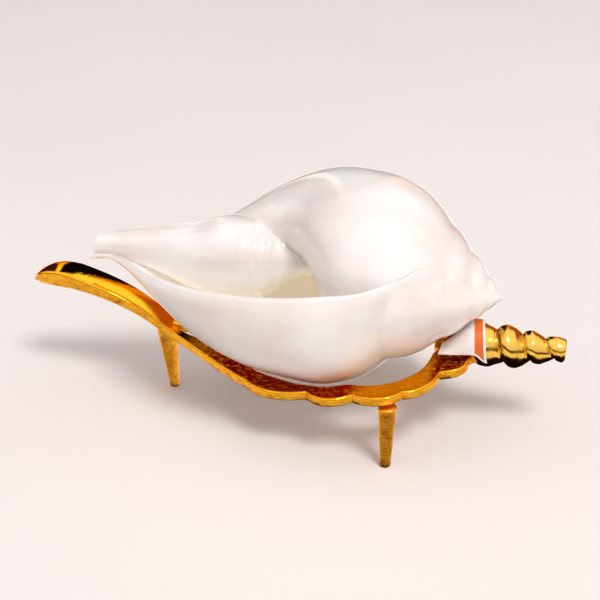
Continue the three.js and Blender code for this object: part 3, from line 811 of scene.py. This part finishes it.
# ---------------------------------------------------------------- the paper label
# One short edge lies on the plate; from there the paper bends up over the near side of the first bead.
LABEL_THICK = 0.3
LABEL_TOP_EDGE = (49.6, 62)  # where each long edge starts and ends along the cradle, mm
LABEL_LOW_EDGE = (49, 64.2)
LABEL_HUG = 7.7  # radius of the paper's inner face round the bead, mm
BAND = (0.74, 0.955)  # the plain orange band, as parts of the way along the label
BAND_ENDS = (0.04, 0.94)  # and as parts of the way across it
label_bend = curve_through((49.4, 0), (53, 0.3), (56, 0.69), (58, 0.93), (59.5, 1))


def label_face(part, down):
    top = lerp(*LABEL_TOP_EDGE, part)
    x = lerp(top, lerp(*LABEL_LOW_EDGE, part), down)
    angle = np.radians(lerp(98, lerp(-3, -22, smooth(0.72, 1, part)), down))
    bend = label_bend(x)
    y = lerp(lerp(-2, -8, down), -LABEL_HUG * np.cos(angle), bend)
    z = lerp(lerp(28.3, 27.2, down), SPIRE_HEIGHT + LABEL_HUG * np.sin(angle), bend)
    # Creases where it was pressed down by hand.
    dent = 0.12 * np.sin(7 * part + 5 * down) * np.sin(math.pi * part) * np.sin(math.pi * down)
    return np.stack([x, y - dent, z], -1)


def label_piece(materials):
    part, down = np.meshgrid(np.linspace(0, 1, 60), np.linspace(0, 1, 36), indexing="ij")
    inner = label_face(part, down)
    ahead = label_face(part + 0.01, down) - inner
    below = label_face(part, down + 0.01) - inner
    out = np.cross(below, ahead)
    out /= np.linalg.norm(out, axis=-1, keepdims=True)
    rows, across = part.shape
    points = np.concatenate([(inner + out * LABEL_THICK).reshape(-1, 3), inner.reshape(-1, 3)])
    under = rows * across
    faces, kinds = [], []
    for i in range(rows - 1):
        for j in range(across - 1):
            a, b = i * across + j, (i + 1) * across + j
            in_band = BAND[0] < (i + 0.5) / (rows - 1) < BAND[1]
            printed = in_band and BAND_ENDS[0] < (j + 0.5) / (across - 1) < BAND_ENDS[1]
            faces += [[a, a + 1, b + 1, b], [under + a, under + b, under + b + 1, under + a + 1]]
            kinds += [int(printed), 0]
    rim = [(i, 0) for i in range(rows)] + [(rows - 1, j) for j in range(1, across)]
    rim += [(i, across - 1) for i in range(rows - 2, -1, -1)] + [(0, j) for j in range(across - 2, -1, -1)]
    rim = [i * across + j for i, j in rim]
    for a, b in zip(rim, rim[1:]):
        faces.append([a, b, under + b, under + a])
        kinds.append(0)
    return cleaned(mesh_piece("label_paper", points, faces, materials, kinds), 1e-6)


# ---------------------------------------------------------------- the object
gilt_mirror = polished_gilt("polished_gilt", "#FAB52C", "#F2A21C", 0.14)
spire_gilt = polished_gilt("pale_polished_gilt", "#EDC564", "#E4B445", 0.3)
gilt_grain, gilt_satin = grained_gilt(), brushed_gilt()
gilt_rod = turned_gilt_rod()

shell = shell_piece(polished_conch_shell())
plate = plate_piece([gilt_mirror, gilt_grain, gilt_satin])
spire = spire_piece(spire_gilt)
neck_leg, near_leg, far_leg = [leg_piece(*leg, gilt_rod) for leg in LEGS]
label = label_piece(
    [
        coated_label_paper("label_paper_white", "#F6F1EC", "#EDE3DC"),
        coated_label_paper("label_paper_orange", "#E66E22", "#D65C1A"),
    ]
)

for piece, cad_node, slot in (
    (shell, "shell", "polished_shell"),
    (plate, "tray", "gilt_casting"),
    (spire, "tray", "gilt_casting"),
    (neck_leg, "leg_left", "gilt_rod"),
    (near_leg, "leg_near", "gilt_rod"),
    (far_leg, "leg_far", "gilt_rod"),
    (label, "label", "coated_paper"),
):
    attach(piece, "root")
    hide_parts(cad_node)

# ---------------------------------------------------------------- floor
FLOOR_REACH = 4.0  # from the middle to each side, m
floor_mesh = bpy.data.meshes.new("studio_floor")
floor_corners = [(x * FLOOR_REACH, y * FLOOR_REACH, 0) for x, y in ((-1, -1), (1, -1), (1, 1), (-1, 1))]
floor_mesh.from_pydata(floor_corners, [], [(0, 1, 2, 3)])
floor_mesh.materials.append(pale_studio_floor())
floor = bpy.data.objects.new("studio_floor", floor_mesh)
bpy.context.scene.collection.objects.link(floor)

# ---------------------------------------------------------------- camera
AZIMUTH, ELEVATION, DISTANCE = math.radians(13.6), math.radians(25), 0.360
SENSOR_WIDTH, FOCAL_LENGTH = 36, 67.08
AIM_RIGHT, AIM_BACK, AIM_HEIGHT = 3.9 * MM, 2.2 * MM, 0.46  # from the middle, and as a part of the height
middle_x, middle_y = (cad_low.x + cad_high.x) / 2, (cad_low.y + cad_high.y) / 2
aim = Vector((middle_x + AIM_RIGHT, middle_y + AIM_BACK, cad_high.z * AIM_HEIGHT))
back = Vector(
    (math.sin(AZIMUTH) * math.cos(ELEVATION), -math.cos(AZIMUTH) * math.cos(ELEVATION), math.sin(ELEVATION))
)
camera = bpy.data.objects.new("camera", bpy.data.cameras.new("camera"))
camera.data.sensor_width = SENSOR_WIDTH
camera.data.lens = FOCAL_LENGTH
camera.data.clip_start = 0.01
camera.location = aim + back * DISTANCE
camera.rotation_euler = (-back).to_track_quat("-Z", "Y").to_euler()
bpy.context.scene.collection.objects.link(camera)
bpy.context.scene.camera = camera

# ---------------------------------------------------------------- light
KEY_TOWARDS = Vector((0.42, -0.50, 1.0)).normalized()  # from the object to the softbox
KEY_AIM = Vector((0, 0, 0.03))
KEY_AWAY, KEY_SIDE, KEY_POWER, KEY_COLOUR = 2.6, 0.75, 35.5, "#FFFCFA"  # m, m, W
TENT_STRENGTH, MIRRORED_STRENGTH = 0.64, 1.3

lamp = bpy.data.lights.new("key_softbox", "AREA")
lamp.shape = "RECTANGLE"
lamp.size, lamp.size_y = KEY_SIDE, KEY_SIDE
lamp.energy = KEY_POWER
lamp.color = linear(KEY_COLOUR)[:3]
key = bpy.data.objects.new("key_softbox", lamp)
key.location = KEY_AIM + KEY_TOWARDS * KEY_AWAY
key.rotation_euler = (-KEY_TOWARDS).to_track_quat("-Z", "Y").to_euler()
bpy.context.scene.collection.objects.link(key)

# The floor gives its light to everything, but nothing glossy mirrors it: it sees the surround below.
floor.visible_glossy = False
world = bpy.data.worlds.new("studio")
world.use_nodes = True
tree = world.node_tree
tree.nodes.clear()
way = node(tree, "TexCoord").outputs["Generated"]
parts = node(tree, "SeparateXYZ", {0: way}).outputs
# Soft light on all matt surfaces: a pale tent, faintly lilac.
tent = node(tree, "Background", {"Color": linear("#F9F4F5"), "Strength": TENT_STRENGTH})
# What a polished surface mirrors: a bright roof over a dark band, a pale table edge below it, and dark
# under the table. Behind the object stands a dark wall with one window to the left and a warm part to
# the right. Heights go from -1, straight down, to 1, straight up, and are made 0 to 1 for the colours.
level = node(tree, "MapRange", {"Value": parts[2], "From Min": -1.0, "From Max": 1.0}).outputs[0]
height = node(
    tree,
    "ValToRGB",
    {"Fac": level},
    stops=[
        (0.0, "#120A06"),
        (0.185, "#1C110B"),
        (0.23, "#F0E2D2"),
        (0.42, "#F6EDE4"),
        (0.47, "#5A4536"),
        (0.54, "#4A382C"),
        (0.62, "#E8E2DE"),
        (1.0, "#FFFFFF"),
    ],
)
along_wall = node(tree, "MapRange", {"Value": parts[0], "From Min": -0.6, "From Max": 0.4}).outputs[0]
wall = node(
    tree,
    "ValToRGB",
    {"Fac": along_wall},
    stops=[
        (0.08, "#30241C"),
        (0.12, "#F4F0E0"),
        (0.2, "#F4F0E0"),
        (0.23, "#0A0504"),
        (0.54, "#0C0604"),
        (0.6, "#D89A6C"),
        (0.68, "#D8A070"),
        (0.8, "#A05844"),
    ],
)
far_wall = node(tree, "MapRange", {"Value": parts[1], "From Min": 0.2, "From Max": 0.35}).outputs[0]
# The wall is taller at the left, where it is dark.
wall_top = node(
    tree, "MapRange", {"Value": parts[0], "From Min": -0.1, "From Max": 0.05, "To Min": 0.93, "To Max": 0.62}
).outputs[0]
low = node(tree, "Math", {0: wall_top, 1: parts[2]}, operation="SUBTRACT").outputs[0]
low = node(tree, "Math", {0: low, 1: 8.0}, operation="MULTIPLY", use_clamp=True).outputs[0]
above = node(tree, "MapRange", {"Value": parts[2], "From Min": 0.0, "From Max": 0.08}).outputs[0]
on_wall = node(tree, "Math", {0: far_wall, 1: low}, operation="MULTIPLY").outputs[0]
on_wall = node(tree, "Math", {0: on_wall, 1: above}, operation="MULTIPLY").outputs[0]
seen = node(
    tree, "Mix", {0: on_wall, 6: height.outputs["Color"], 7: wall.outputs["Color"]}, data_type="RGBA"
)
mirrored = node(tree, "Background", {"Color": seen.outputs[2], "Strength": MIRRORED_STRENGTH})
is_mirror = node(tree, "LightPath").outputs["Is Glossy Ray"]
both = node(tree, "MixShader", {0: is_mirror, 1: tent.outputs[0], 2: mirrored.outputs[0]})
node(tree, "OutputWorld", {"Surface": both.outputs[0]})
bpy.context.scene.world = world
bpy.context.scene.view_settings.view_transform = "Standard"
